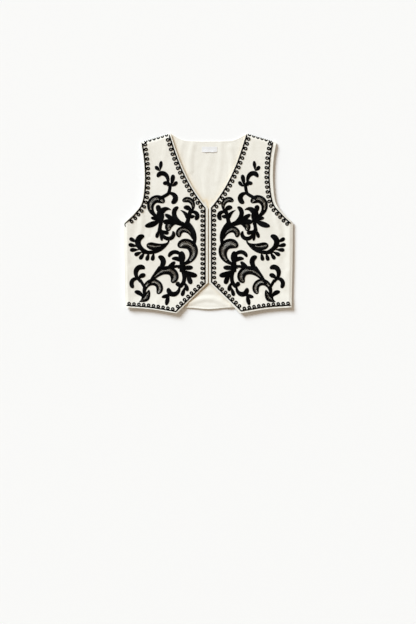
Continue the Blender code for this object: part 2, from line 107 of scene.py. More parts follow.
# creases and soft folds, placed one by one:
# from x, from y, to x, to y, sideways bow, height, half width
CREASES = {
    "front_right": (
        (-193, 38, -198, -36, 5, 1.1, 12),
        (-214, 8, -222, -44, -3, 0.5, 9),
        (-222, -128, -214, -198, 4, 0.9, 12),
        (-163, -18, -169, -40, 2, -0.5, 7),
        (-176, 60, -150, 34, 3, 0.4, 11),
        (-230, -60, -206, -100, 5, 0.4, 13),
        (-120, 232, -128, 186, 3, 0.5, 14),
        (-172, 214, -164, 150, -4, 0.4, 12),
        (-60, 92, -88, 40, 5, 0.3, 12),
        (-26, 30, -30, -80, -3, 0.3, 10),
        (-150, -232, -132, -204, 3, 0.5, 10),
        (-196, -236, -190, -214, -2, 0.6, 9),
        (-228, -247, -108, -260, -3, 2.4, 26),
    ),
    "front_left": (
        (196, 42, 205, -28, -5, 1.1, 13),
        (222, -4, 226, -70, 3, 0.5, 10),
        (150, -206, 170, -240, 3, 0.9, 11),
        (224, -140, 216, -212, -4, 0.7, 12),
        (214, -70, 190, -118, 4, 0.4, 14),
        (168, 52, 148, 20, -3, -0.4, 9),
        (122, 226, 132, 180, -4, 0.5, 13),
        (170, 196, 160, 132, 3, 0.4, 12),
        (58, 86, 88, 34, -5, 0.3, 13),
        (24, 0, 30, -96, 3, 0.3, 9),
        (96, -236, 112, -206, 3, 0.5, 9),
    ),
    "back_panel": (
        (-54, -227, 60, -236, 17, 2.0, 12),
        (-24, -197, 26, -197, 5, 0.9, 12),
        (2, -182, 38, -214, -4, 0.7, 12),
        (-70, -236, 50, -240, -2, -0.5, 7),
        (-52, 150, -44, 226, 4, 1.0, 13),
        (66, 116, 62, 216, -5, 1.0, 14),
        (-8, 86, 4, 190, 6, 0.5, 16),
        (26, 120, 34, 224, -4, 0.5, 11),
        (-84, 180, -74, 232, 3, 0.6, 12),
        (-18, 60, -30, 128, -4, -0.4, 12),
        (-190, 40, -150, -20, 8, 0.7, 18),
        (188, 36, 152, -30, -8, 0.7, 18),
        (-206, -60, -196, -170, 6, 0.6, 16),
        (210, -70, 198, -180, -6, 0.6, 16),
        (-96, -60, -110, -190, 5, 0.4, 15),
        (100, -40, 92, -180, -5, 0.4, 15),
    ),
}

# strokes of the embroidery on one front
# name, form, base u, base v, tip u, tip v, turn, curl, width
SCROLLS = (
    ("sprig_top", "drop", 138, 151, 135, 179, 0, 1, 11),
    ("sprig_side", "drop", 139, 150, 152, 164, 15, 1, 12),
    ("crook_top", "hook", 117, 107, 144, 131, -200, 2, 14),
    ("crook_small", "hook", 109, 103, 129, 111, -150, 1, 12),
    ("stalk_upper", "stem", 115, 84, 110, 112, -25, 1, 10),
    ("bud_upper", "bulb", 108, 105, 101, 140, -15, 1, 13),
    ("bud_lower", "bulb", 109, 107, 91, 121, -80, 1, 11),
    ("vine_upper", "stem", 143, 70, 112, 87, -15, 1, 10),
    ("crook_right", "hook", 119, 85, 107, 61, 205, 1.5, 16),
    ("plume_high", "half_net", 148, 19, 129, 57, 220, 1.5, 23),
    ("plume_bud", "bulb", 138, 25, 144, 53, 25, 1, 15),
    ("plume_leaf", "leaf", 136, 22, 107, 38, 135, 1, 19),
    ("heart_upper", "drop", 133, -4, 139, 40, 10, 1, 23),
    ("fin_small", "drop", 136, 12, 165, 16, 0, 1, 12),
    ("fin_large", "drop", 133, 12, 182, -8, 25, 1, 17),
    ("blade_upper", "drop", 92, -1, 125, 26, -25, 1, 14),
    ("swan_upper", "hook", 58, -9, 85, 46, 150, 2.5, 14),
    ("vine_heart", "vine", 50, -18, 130, 3, -55, 1, 15),
    ("shell_net", "net", 82, 1, 109, -19, -165, 2, 22),
    ("cap_stalk", "stem", 60, -8, 50, 38, 25, 1, 12),
    ("cap_net", "net", 49, 32, 73, 61, -180, 1.5, 16),
    ("cap_bud", "drop", 51, 31, 71, 43, -130, 1, 15),
    ("cap_leaf", "hook", 57, 29, 40, 12, 205, 1.5, 13),
    ("cap_small", "drop", 60, 17, 39, 21, 0, 1, 11),
    ("cap_spike", "leaf", 56, 5, 81, 38, -65, 1, 15),
    ("vine_middle", "vine", 43, -66, 67, 5, -75, 1, 14),
    ("curl_net", "net", 45, -44, 80, -38, -218, 2, 19),
    ("cup_upper", "hook", 136, 1, 103, -22, -230, 2, 12),
    ("cup_bud", "bulb", 136, -17, 113, -26, -70, 1, 13),
    ("drop_bar", "stem", 136, 4, 141, -24, 0, 1, 11),
    ("drop_left", "bulb", 139, -16, 148, -42, -25, 1, 11),
    ("drop_right", "bulb", 140, -20, 133, -50, 5, 1, 9),
    ("thread", "stem", 111, -40, 123, -64, 40, 1, 5),
    ("paisley", "paisley", 112, -52, 177, -60, 65, 1, 23),
    ("wing_tail", "vine", 115, -54, 193, -79, 75, 1, 11),
    ("wing_hook", "hook", 166, -83, 183, -38, 185, 2, 17),
    ("feather_1", "bulb", 203, -55, 226, -42, 0, 1, 12),
    ("feather_2", "bulb", 202, -66, 229, -60, 0, 1, 12),
    ("feather_3", "bulb", 199, -75, 225, -76, 0, 1, 12),
    ("feather_4", "bulb", 190, -81, 212, -91, 0, 1, 12),
    ("feather_5", "bulb", 182, -82, 197, -103, 0, 1, 12),
    ("feather_6", "bulb", 170, -83, 177, -107, 0, 1, 12),
    ("feather_7", "bulb", 156, -83, 161, -107, 0, 1, 12),
    ("plume_low", "net", 72, -117, 84, -70, -225, 1.5, 29),
    ("crown_up", "drop", 75, -122, 77, -79, 0, 1, 21),
    ("crown_over", "hook", 72, -110, 113, -97, -170, 1.5, 12),
    ("crown_low", "drop", 74, -119, 105, -102, -105, 1, 13),
    ("crown_stalk", "stem", 76, -96, 76, -140, 0, 1, 14),
    ("palm_high", "bulb", 88, -128, 44, -126, 0, 1, 14),
    ("palm_middle", "bulb", 80, -127, 32, -149, -45, 1, 16),
    ("palm_low", "bulb", 66, -139, 50, -174, 20, 1, 15),
    ("band_low", "vine", 66, -121, 133, -131, -15, 1, 9),
    ("blade_low", "bulb", 127, -133, 95, -109, -15, 1, 12),
    ("swan_low", "hook", 148, -138, 144, -98, -165, 2.5, 16),
    ("swan_stem", "vine", 172, -172, 138, -122, 0, 1, 8),
    ("shell_low", "net", 169, -170, 108, -166, 220, 2.5, 25),
    ("tail_upper", "vine", 82, -126, 85, -182, 105, 1.5, 12),
    ("tail_bud", "bulb", 78, -184, 92, -168, 0, 1, 14),
    ("tail_hook", "hook", 83, -176, 112, -184, 215, 1.5, 15),
    ("seed_left", "bulb", 71, -166, 61, -194, 35, 1, 12),
    ("seed_right", "bulb", 67, -180, 76, -208, 0, 1, 12),
    ("foot_side", "drop", 103, -203, 134, -211, 0, 1, 12),
    ("foot_down", "drop", 113, -202, 121, -234, 0, 1, 13),
    ("root_net", "half_net", 183, -208, 148, -200, 250, 1.5, 20),
    ("root_stalk", "stem", 183, -182, 196, -160, 0, 1, 9),
    ("root_hook", "hook", 193, -166, 213, -184, -215, 1, 13),
    ("tuft_hook", "hook", 195, -168, 183, -131, 195, 2, 15),
    ("tuft_bud", "bulb", 198, -163, 180, -150, 130, 1, 14),
    ("root_leaf", "drop", 188, -214, 212, -196, -90, 1, 14),
    ("root_blade", "net_leaf", 198, -224, 170, -189, -65, 1, 25),
)

# widths along a stroke: share at the base, place of the full width, place where the end
# starts to close, roundness of the end, and where its open window starts and ends
FORMS = {
    "drop": (0.22, 0.62, 0.55, 2.0, None),
    "bulb": (0.22, 0.72, 0.72, 2.0, None),
    "leaf": (0.35, 0.45, 0.30, 1.15, None),
    "hook": (0.35, 0.66, 0.80, 2.0, None),
    "net": (0.30, 0.64, 0.80, 2.0, (0.20, 0.96)),
    "half_net": (0.40, 0.62, 0.80, 2.0, (0.30, 0.96)),
    "net_leaf": (0.10, 0.55, 0.40, 1.3, (0.15, 0.90)),
    "paisley": (0.12, 0.85, 0.72, 2.0, (0.42, 0.97)),
    "stem": (1.0, 0.5, 0.93, 2.0, None),
    "vine": (0.55, 0.5, 0.90, 2.0, None),
}
SWELL_POWER = 1.5
TIP_WIDTH = 0.03

# section of a stroke from its edge inward: a corded rim, a groove and a padded middle
STATION = 1.5
SINK = 0.45
CORD_RADIUS = 1.25
RIM_PROFILE = ((0.0, -SINK), (0.22, 0.5), (1.0, 1.0), (1.8, 0.65))
# the rim narrows where the half width is under this many cord radii, and heights with it,
# down to this share
RIM_FIT = 2.6
THIN_SHARE = 0.35
# the padding starts this many radii in, and is full where it has this much room
FILL_START = 2.1
FILL_ROOM = 4
FILL_EDGE = 0.55
FILL_TOP = 0.9
FILL_PLACES = (0.0, 0.3, 0.55, 0.8, 1.0)
WINDOW_RIM = 1.9
WINDOW_SHARE = 0.44
WINDOW_LEAST = 0.9
# strokes lie on four levels, so that those that cross differ; their underside runs this
# far below their edge and below the cloth
LEVELS = 4
LEVEL_STEP = 0.1
UNDER_EDGE = 0.5
UNDER_CLOTH = 0.9
# the inner side of a bend is drawn in to this share of its radius
BEND_ROOM = 0.9

# nets: radius and height of the stitches and of the crossings, how many stations a
# crossing spans, how far both run into the rim, the least and the usual reach of a stitch,
# its spread, its lean, and the shortest thread
STITCH = (0.50, 0.5)
CROSSING = (0.44, 0.35)
CROSSING_SPAN = 2
NET_HOLD = 0.7
STITCH_LEAST = 0.3
STITCH_REACH = 0.75
STITCH_SPREAD = 0.6
STITCH_LEAN = 0.35
SHORTEST_THREAD = 0.5
THREAD_SIDES = 4

# looped braid: the line cord, and one loop of the cord beside it, along and inward
LINE_CORD = 1.4
LOOP_CORD = 1.85
LINE_STEP = 1.5
CORNER_GAP = 0.3
CORD_SIDES = 8
CORD_FLATNESS = 0.5
CORD_HEIGHT = 0.4
CORD_STEP = 2.2
CORD_END = 0.55
FIRST_LOOP = 9.4
# room that the rings leave before and after the corner at the neck and the one at the
# shoulder's end, and before the underarm
SHOULDER_ROOM = (4, 8)
ARM_ROOM = (5, 6)
LAST_ROOM = 9
RING_SEARCH = 0.2
# run: step from ring to ring, half width of a ring, how far in its cord reaches
BRAID = {
    "hem": (13.9, 3.35, 9.4),
    "slant": (13.7, 3.4, 10.6),
    "opening": (13.45, 3.2, 11.8),
    "neckline": (14.2, 3.6, 12.2),
    "shoulder": (12.2, 3.0, 12.0),
    "armhole": (13.7, 3.4, 12.0),
}
# how far in the middle of a ring lies, and the step, half width and reach of LOOP_PATH
RING_MIDDLE = 8.0
LOOP_SIZE = (13.2, 3.0, 12.0)
# depth where a loop has stopped following the line, and over which it stretches
LOOP_LEAVES = 3
LOOP_STRETCH = 7
LOOP_POINTS = 34
LOOP_PATH = (
    (-6.6, 0.4, 0.0), (-4.2, 0.5, 0.0), (-1.5, 1.6, 0.1), (0.9, 4.2, 0.2), (2.5, 6.6, 0.1),
    (3.0, 9.0, 0.0), (2.1, 11.2, 0.0), (0.0, 12.0, 0.0), (-2.1, 11.2, 0.0), (-3.0, 9.0, 0.0),
    (-2.5, 6.6, 0.3), (-0.9, 4.2, 0.8), (1.5, 1.6, 0.9), (4.2, 0.5, 0.3), (6.6, 0.4, 0.0),
)
# at the shoulder the seam takes the upper half of each loop
TUCK_PATH = ((-3.4, -0.9, -2.6), (-3.2, 0.9, -0.6), (-1.9, 3.0, 0.0), (0.6, 3.7, 0.0),
             (2.6, 2.2, 0.0), (3.1, 0.4, -0.8), (3.0, -0.9, -2.6))
TUCK_POINTS = 12
SEAM_INSET = 2.2

# how far the cloth stands off the board: toward the hem, and along side and armhole
HEM_LIFT = 5.2
HEM_START = -196
HEM_SPAN = 62
HEM_POWER = 1.4
SIDE_LIFT = 2.6
SIDE_SPAN = 34
SIDE_X = 240
ARM_X = 186
ARM_SPAN = 60
# share of the side's lift that the armhole loses
ARM_REST = 0.7

# painted shade on the back beside the free edges of the fronts, where their shadow falls:
# how far it reaches, how strong it is beside the right and the left front, and its tan colour
PAINTED_SHADE_REACH = 5.0
PAINTED_SHADE_SHARES = ((-1, 1.0), (1, 0.45))
PAINTED_SHADE_TAN = (0.80, 0.66, 0.46)

# unevenness of the cloth: width and height of its broad and its fine waves
BROAD_WAVE = (46, 0.26)
FINE_WAVE = (17, 0.08)
BACK_SEED = 3
FRONT_SEED = 11
# turned edge: height, distance from the edge and width of its bead and of its groove
BEAD = (0.16, 2.0, 1.5)
GROOVE = (0.10, 4.6, 0.9)
# a front comes down to the back over this distance, from this far beside the seam
SEAM_SLOPE = 9
SEAM_REST = 0.5
# the back is raised by this much, and its waves go no deeper
BACK_REST = 0.1

# heights from which a panel's upper face is looked for, on it and just beside it
WELL_ABOVE = 60
NEAR_TOP = 6
# panels: how round their edges are, as a share of the wall, and what counts as an edge
EDGE_ROUND = 0.42
EDGE_ANGLE = 50

# neck tape: cells, wall, height over the back, how loose its lower edge is, how much
# shorter that makes it
TAPE_GRID = (44, 16)
TAPE_WALL = 0.45
TAPE_HEIGHT = 0.55
TAPE_LOOSE = 1.6
TAPE_SHRINK = 0.04

# closeness of the grid lines next to an edge, and further in
RIM_STEPS = (0.0, 1.1, 2.2, 3.3, 4.4, 5.6, 7.2, 9.4, 12.0)
GRID_STEP = 2.9
MARK_GAP = 0.2
# nominal sizes that set how many grid lines a panel has, and the shares of its corners
FRONT_WIDTH = 236
BACK_WIDTH = 472
PANEL_HEIGHT = 470
UNDERARM_SHARE = 0.5
POINT_SHARE = 0.46
SHOULDER_SHARE = 0.22


# curves

def curve_through(points, step):
    """Sample a soft curve through the points, both ends kept."""
    out = []
    for i in range(len(points) - 1):
        p1, p2 = points[i], points[i + 1]
        p0 = points[i - 1] if i > 0 else p1 * 2 - p2
        p3 = points[i + 2] if i + 2 < len(points) else p2 * 2 - p1
        count = max(1, round((p2 - p1).length / step))
        for k in range(count):
            t = k / count
            bend = (p0 * 2 - p1 * 5 + p2 * 4 - p3) * t * t
            turn = (p1 * 3 - p0 - p2 * 3 + p3) * t * t * t
            out.append((p1 * 2 + (p2 - p0) * t + bend + turn) * 0.5)
    out.append(points[-1].copy())
    return out


def run_of(table, names, side=1):
    """The curve through the rows of an edge table from the first name to the last."""
    rows = [row[0] for row in table]
    first, last = rows.index(names[0]), rows.index(names[-1])
    picked = table[first:last + 1] if first <= last else table[first:] + table[:last + 1]
    return curve_through([Vector((row[1] * side, row[2])) for row in picked], 1.0)


class Line:
    """A polyline that is read by its length."""

    def __init__(self, points):
        self.points = points
        self.marks = [0.0]
        for a, b in zip(points, points[1:]):
            self.marks.append(self.marks[-1] + (b - a).length)
        self.length = self.marks[-1]

    def segment(self, distance):
        low, high = 0, len(self.points) - 2
        while low < high:
            middle = (low + high + 1) // 2
            if self.marks[middle] <= distance:
                low = middle
            else:
                high = middle - 1
        return low

    def at(self, distance):
        i = self.segment(distance)
        a, b = self.points[i], self.points[i + 1]
        t = (distance - self.marks[i]) / max(1e-9, self.marks[i + 1] - self.marks[i])
        return a + (b - a) * t

    def inward(self, distance, reach=4.0):
        """Unit vector to the right of the line, softened over a short reach."""
        ahead = self.at(min(self.length, distance + reach))
        behind = self.at(max(0.0, distance - reach))
        d = (ahead - behind).normalized()
        return Vector((d.y, -d.x))


def soft_step(t):
    t = max(0.0, min(1.0, t))
    return t * t * (3 - 2 * t)


def line_distance(p, a, b):
    d = b - a
    t = max(0.0, min(1.0, (p - a).dot(d) / d.length_squared))
    return (p - a - d * t).length


def polyline_distance(p, points):
    return min(line_distance(p, a, b) for a, b in zip(points, points[1:]))


# cloth

def crease_lines(panel):
    """Each crease of a panel as a bowed line with its box, height and half width."""
    out = []
    for x0, y0, x1, y1, bow, height, half_width in CREASES[panel]:
        a, b = Vector((x0, y0)), Vector((x1, y1))
        across = (b - a).normalized()
        across = Vector((-across.y, across.x)) * bow
        points = [a + (b - a) * k / 5 + across * math.sin(math.pi * k / 5) for k in range(6)]
        xs, ys = [p.x for p in points], [p.y for p in points]
        box = (min(xs) - half_width, max(xs) + half_width,
               min(ys) - half_width, max(ys) + half_width)
        out.append((points, box, height, half_width))
    return out


def crease_height(p, creases):
    total = 0.0
    for points, (x0, x1, y0, y1), height, half_width in creases:
        if x0 < p.x < x1 and y0 < p.y < y1:
            away = polyline_distance(p, points) / half_width
            if away < 1:
                total += height * (1 - away * away) ** 2
    return total


def lift(p):
    """How far both layers rise off the board toward the hem and the sides."""
    hem = HEM_LIFT * max(0.0, (HEM_START - p.y) / HEM_SPAN) ** HEM_POWER
    up = soft_step(p.y / ARM_SPAN)
    edge = SIDE_X if p.y < 0 else ARM_X + (SIDE_X - ARM_X) * (1 - up)
    side = SIDE_LIFT * soft_step((abs(p.x) - edge + SIDE_SPAN) / SIDE_SPAN) ** 2
    return hem + side * (1 - ARM_REST * up)


def waviness(x, y, seed):
    """Slight unevenness of cloth that has been laid out by hand."""
    broad, broad_height = BROAD_WAVE
    fine, fine_height = FINE_WAVE
    return (broad_height * noise.noise(Vector((x / broad, y / broad, seed)))
            + fine_height * noise.noise(Vector((x / fine, y / fine, seed + 7))))


def turned_edge(away):
    """A turned and stitched edge: a low bead, then the groove of the stitching."""
    def bump(height, middle, width):
        return height * math.exp(-((away - middle) / width) ** 2)

    return bump(*BEAD) - bump(*GROOVE)


def grid_marks(length, joint):
    """Shares from 0 to 1 along a side, close together near its ends.

    The share of the side's corner, joint, is one of the marks.
    """
    marks = []
    for start, stop in ((0.0, joint * length), (joint * length, length)):
        low = start + RIM_STEPS[-1] if start == 0.0 else start
        high = stop - RIM_STEPS[-1] if stop == length else stop
        count = max(1, round((high - low) / GRID_STEP))
        marks += [low + (high - low) * k / count for k in range(count + 1)]
    marks += list(RIM_STEPS) + [length - step for step in RIM_STEPS]
    kept = []
    for mark in sorted(marks):
        if not kept or mark - kept[-1] > MARK_GAP:
            kept.append(mark)
    return [mark / length for mark in kept]


def two_part(first, second, joint):
    """A side made of two runs that meet at the joint's share."""
    lower, upper = Line(first), Line(second)

    def read(share):
        if share <= joint:
            return lower.at(share / joint * lower.length)
        return upper.at((share - joint) / (1 - joint) * upper.length)
    return read


def turned_side(table, lower, upper, side, joint):
    """A side made of two runs of an edge table, both read against its order."""
    return two_part(run_of(table, lower, side)[::-1], run_of(table, upper, side)[::-1], joint)


def cloth_panel(name, left, right, bottom, top, marks_across, marks_up, height, wall):
    """A panel of cloth: a grid fitted between its four sides, then given its wall."""
    bpy.ops.object.select_all(action="DESELECT")
    columns, rows = len(marks_across) - 1, len(marks_up) - 1
    bpy.ops.mesh.primitive_grid_add(x_subdivisions=columns, y_subdivisions=rows, size=1)
    panel = bpy.context.active_object
    panel.name = name
    panel.data.name = name
    corners = bottom(0), bottom(1), top(0), top(1)
    lefts, rights = [left(s) for s in marks_up], [right(s) for s in marks_up]
    bottoms, tops = [bottom(t) for t in marks_across], [top(t) for t in marks_across]
    uv = panel.data.uv_layers.active.data
    flat = {}
    for vertex in panel.data.vertices:
        i = round((vertex.co.x + 0.5) * columns)
        j = round((vertex.co.y + 0.5) * rows)
        t, s = marks_across[i], marks_up[j]
        p = bottoms[i] * (1 - s) + tops[i] * s + lefts[j] * (1 - t) + rights[j] * t
        p -= (corners[0] * (1 - t) + corners[1] * t) * (1 - s)
        p -= (corners[2] * (1 - t) + corners[3] * t) * s
        flat[vertex.index] = p
        vertex.co = (p.x * MM, p.y * MM, height(p) * MM)
    for corner, loop in zip(uv, panel.data.loops):
        p = flat[loop.vertex_index]
        corner.uv = (p.x / 100, p.y / 100)
    walls = panel.modifiers.new("wall", "SOLIDIFY")
    walls.thickness = wall * MM
    walls.offset = -1
    bpy.ops.object.modifier_apply(modifier="wall")
    edges = panel.modifiers.new("edges", "BEVEL")
    edges.width = EDGE_ROUND * wall * MM
    edges.segments = 3
    edges.limit_method = "ANGLE"
    edges.angle_limit = math.radians(EDGE_ANGLE)
    bpy.ops.object.modifier_apply(modifier="edges")
    bpy.ops.object.shade_smooth()
    return panel


def front_sides(side):
    """The four sides of a front, as functions of a share from 0 to 1."""
    inner = two_part(run_of(FRONT_EDGE, ("foot", "neck_corner"), side),
                     run_of(FRONT_EDGE, ("neck_corner", "shoulder_neck"), side), UNDERARM_SHARE)
    outer = turned_side(FRONT_EDGE, ("underarm", "side_foot"), ("shoulder_end", "underarm"),
                        side, UNDERARM_SHARE)
    low = turned_side(FRONT_EDGE, ("front_point", "foot"), ("side_foot", "front_point"), side,
                      POINT_SHARE)
    shoulder = Line(run_of(FRONT_EDGE, ("shoulder_neck", "shoulder_end"), side))
    marks_across = grid_marks(FRONT_WIDTH, POINT_SHARE)
    marks_up = grid_marks(PANEL_HEIGHT, UNDERARM_SHARE)

    def high(share):
        return shoulder.at(share * shoulder.length)
    return inner, outer, low, high, marks_across, marks_up


def front_cloth(name, panel, side, seed):
    """One front, lying on the back and coming down to it at side and shoulder."""
    inner, outer, low, high, marks_across, marks_up = front_sides(side)
    creases = crease_lines(panel)
    seams = [[outer(UNDERARM_SHARE * k / 8) for k in range(9)], [high(0), high(1)]]
    free = [[inner(k / 40) for k in range(41)], [low(k / 24) for k in range(25)],
            [outer(UNDERARM_SHARE + (1 - UNDERARM_SHARE) * k / 20) for k in range(21)]]

    def height(p):
        beside = min(polyline_distance(p, seam) for seam in seams)
        share = soft_step((beside - SEAM_REST) / SEAM_SLOPE)
        raised = (LAY_GAP - SEAM_GAP + crease_height(p, creases)) * share
        free_edge = min(polyline_distance(p, line) for line in free)
        shaped = waviness(p.x, p.y, seed) * share + turned_edge(free_edge)
        return BACK_WALL + lift(p) + SEAM_GAP + raised + shaped + FRONT_WALL

    if side > 0:
        return cloth_panel(name, inner, outer, low, high, marks_across, marks_up, height,
                           FRONT_WALL)
    turned = [1 - mark for mark in reversed(marks_across)]
    return cloth_panel(name, outer, inner, lambda t: low(1 - t), lambda t: high(1 - t),
                       turned, marks_up, height, FRONT_WALL)


def back_cloth(name):
    """The back in one piece, flat where it rests."""
    left, right = (
        turned_side(BACK_EDGE, ("underarm", "side_foot"), ("shoulder_end", "underarm"), side,
                    UNDERARM_SHARE) for side in (-1, 1))
    half_hem = [Vector(row[1:]) for row in (BACK_EDGE[0], BACK_EDGE[-1], BACK_EDGE[-2])]
    mirrored = [Vector((-p.x, p.y)) for p in reversed(half_hem[1:])]
    hem = Line(curve_through(mirrored + half_hem, 4.0))
    neck_share = 1 - 2 * SHOULDER_SHARE
    neck = run_of(BACK_EDGE, ("neck_centre", "shoulder_neck"))
    neckline = Line([Vector((-p.x, p.y)) for p in reversed(neck[1:])] + neck)
    shoulder = Line(run_of(BACK_EDGE, ("shoulder_neck", "shoulder_end")))
    creases = crease_lines("back_panel")

    def low(share):
        return hem.at(share * hem.length)

    def high(share):
        if share < SHOULDER_SHARE:
            p = shoulder.at((1 - share / SHOULDER_SHARE) * shoulder.length)
            return Vector((-p.x, p.y))
        if share > 1 - SHOULDER_SHARE:
            return shoulder.at((1 - (1 - share) / SHOULDER_SHARE) * shoulder.length)
        return neckline.at((share - SHOULDER_SHARE) / neck_share * neckline.length)

    neck_line = [high(SHOULDER_SHARE + neck_share * k / 40) for k in range(41)]
    hem_line = [low(k / 12) for k in range(13)]
    across = grid_marks(BACK_WIDTH, SHOULDER_SHARE)
    across = sorted(set([m for m in across if m <= 0.5] + [1 - m for m in across if m < 0.5]))

    def height(p):
        edge = min(polyline_distance(p, neck_line), polyline_distance(p, hem_line))
        shaped = max(-BACK_REST, waviness(p.x, p.y, BACK_SEED)) + turned_edge(edge)
        return BACK_WALL + max(0.0, lift(p) + crease_height(p, creases) + BACK_REST + shaped)

    return cloth_panel(name, left, right, low, high, across,
                       grid_marks(PANEL_HEIGHT, UNDERARM_SHARE), height, BACK_WALL)


def paint_edge_shade(back):
    """Mark painted shade on the back, by how near it lies to the free edges of the fronts."""
    trees = []
    for side, beside in PAINTED_SHADE_SHARES:
        edge = Line(run_of(FRONT_EDGE, ("front_point", "foot"), side)[:-1]
                    + run_of(FRONT_EDGE, ("foot", "shoulder_neck"), side))
        count = round(edge.length)
        tree = KDTree(count)
        for k in range(count):
            tree.insert(edge.at(k).to_3d(), k)
        tree.balance()
        trees.append((tree, beside))
    painted_shade = back.data.attributes.new("painted_shade", "FLOAT", "POINT")
    for vertex, value in zip(back.data.vertices, painted_shade.data):
        p = (vertex.co.xy / MM).to_3d()
        value.value = max(beside * math.exp(-tree.find(p)[2] / PAINTED_SHADE_REACH)
                          for tree, beside in trees)


# threads and cords

class Stitching:
    """Collects closed tubes and padded strokes, and makes one mesh of them."""

    def __init__(self):
        self.points, self.faces, self.uvs = [], [], []

    def loft(self, rings, lengths):
        """Skin a row of equal rings and cap both ends."""
        first, count = len(self.points), len(rings[0])
        around = [0.0]
        for a, b in zip(rings[len(rings) // 2], rings[len(rings) // 2][1:]):
            around.append(around[-1] + (b - a).length)
        around.append(around[-1])
        for ring in rings:
            self.points += ring
        for i in range(len(rings) - 1):
            for k in range(count):
                n = (k + 1) % count
                a, b = first + i * count, first + (i + 1) * count
                self.faces.append((a + k, a + n, b + n, b + k))
                self.uvs.append(((around[k], lengths[i]), (around[k + 1], lengths[i]),
                                 (around[k + 1], lengths[i + 1]), (around[k], lengths[i + 1])))
        last = first + (len(rings) - 1) * count
        self.faces.append(tuple(first + k for k in reversed(range(count))))
        self.uvs.append(tuple((around[k], lengths[0]) for k in reversed(range(count))))
        self.faces.append(tuple(last + k for k in range(count)))
        self.uvs.append(tuple((around[k], lengths[-1]) for k in range(count)))

    def tube(self, path, radius, sides, flatten=1.0):
        """A round or flattened cord along a path, its ends drawn in."""
        rings, lengths = [], []
        length = 0.0
        for i, p in enumerate(path):
            ahead, behind = path[min(i + 1, len(path) - 1)], path[max(i - 1, 0)]
            along = (ahead - behind).normalized()
            side = along.cross(Vector((0, 0, 1))).normalized()
            up = side.cross(along)
            if i:
                length += (p - path[i - 1]).length
            end = CORD_END if i in (0, len(path) - 1) else 1.0
            ring = []
            for k in range(sides):
                a = -2 * math.pi * k / sides
                ring.append(p + (side * math.cos(a) + up * math.sin(a) * flatten) * radius * end)
            rings.append(ring)
            lengths.append(length)
        self.loft(rings, lengths)

    def finish(self, name):
        mesh = bpy.data.meshes.new(name)
        mesh.from_pydata([p * MM for p in self.points], [], self.faces)
        layer = mesh.uv_layers.new(name="threads")
        flat = [corner for face in self.uvs for corner in face]
        for corner, uv in zip(layer.data, flat):
            corner.uv = uv
        bm = bmesh.new()
        bm.from_mesh(mesh)
        bmesh.ops.recalc_face_normals(bm, faces=bm.faces[:])
        bm.to_mesh(mesh)
        bm.free()
        piece = bpy.data.objects.new(name, mesh)
        bpy.context.scene.collection.objects.link(piece)
        for polygon in mesh.polygons:
            polygon.use_smooth = True
        return piece


class Ground:
    """The upper face of a panel, read from above."""

    def __init__(self, cloth):
        points = [v.co / MM for v in cloth.data.vertices]
        faces = [tuple(p.vertices) for p in cloth.data.polygons]
        self.tree = BVHTree.FromPolygons(points, faces)

    def __call__(self, x, y):
        hit = self.tree.ray_cast(Vector((x, y, WELL_ABOVE)), Vector((0, 0, -1)))[0]
        if hit is None:
            hit = self.tree.find_nearest(Vector((x, y, NEAR_TOP)))[0]
        return hit.z


def stroke_middle(base, tip, turn, curl):
    """Middle line of a stroke, turning on its way from the base to the tip."""
    reach = abs(complex(*tip) - complex(*base))
    bend = abs(math.radians(turn))
    count = max(10, round(reach * (1 + bend * bend / 24) / STATION))
    middle = [complex(0, 0)]
    for i in range(count):
        heading = math.radians(turn) * ((i + 0.5) / count) ** curl
        middle.append(middle[-1] + complex(math.cos(heading), math.sin(heading)))
    fit = (complex(*tip) - complex(*base)) / middle[-1]
    return [m * fit + complex(*base) for m in middle]


def stroke_width(form, width, t):
    start, full, closing, roundness, _ = FORMS[form]
    swell = start + (1 - start) * math.sin(math.pi / 2 * min(1, t / full)) ** SWELL_POWER
    k = max(0.0, (t - closing) / (1 - closing))
    shut = TIP_WIDTH + (1 - TIP_WIDTH) * max(0.0, 1 - k ** roundness) ** (1 / roundness)
    return swell * shut * width / 2


def window_rim(half):
    """Width of the solid rim beside a window, in a stroke of the given half width."""
    return WINDOW_RIM + WINDOW_SHARE * half


def section(half, is_open):
    """Half of a stroke's section, edge to middle: distance in, and height."""
    radius = min(CORD_RADIUS, half / RIM_FIT)
    thin = THIN_SHARE + (1 - THIN_SHARE) * radius / CORD_RADIUS
    out = [(d * radius, h if h < 0 else h * thin) for d, h in RIM_PROFILE]
    edge = FILL_START * radius
    room = half - edge
    fill = (FILL_EDGE + (FILL_TOP - FILL_EDGE) * min(1.0, room / FILL_ROOM)) * thin
    rim = window_rim(half)
    if is_open and half - rim > WINDOW_LEAST:
        out += [(edge, 0.6), (rim - 0.9, 0.8), (rim, 0.2), (rim + 0.3, -SINK), (half, -SINK)]
    else:
        out += [(edge + room * f, (FILL_EDGE + (fill - FILL_EDGE) * math.sin(math.pi / 2 * f))
                 * thin) for f in FILL_PLACES]
    return out


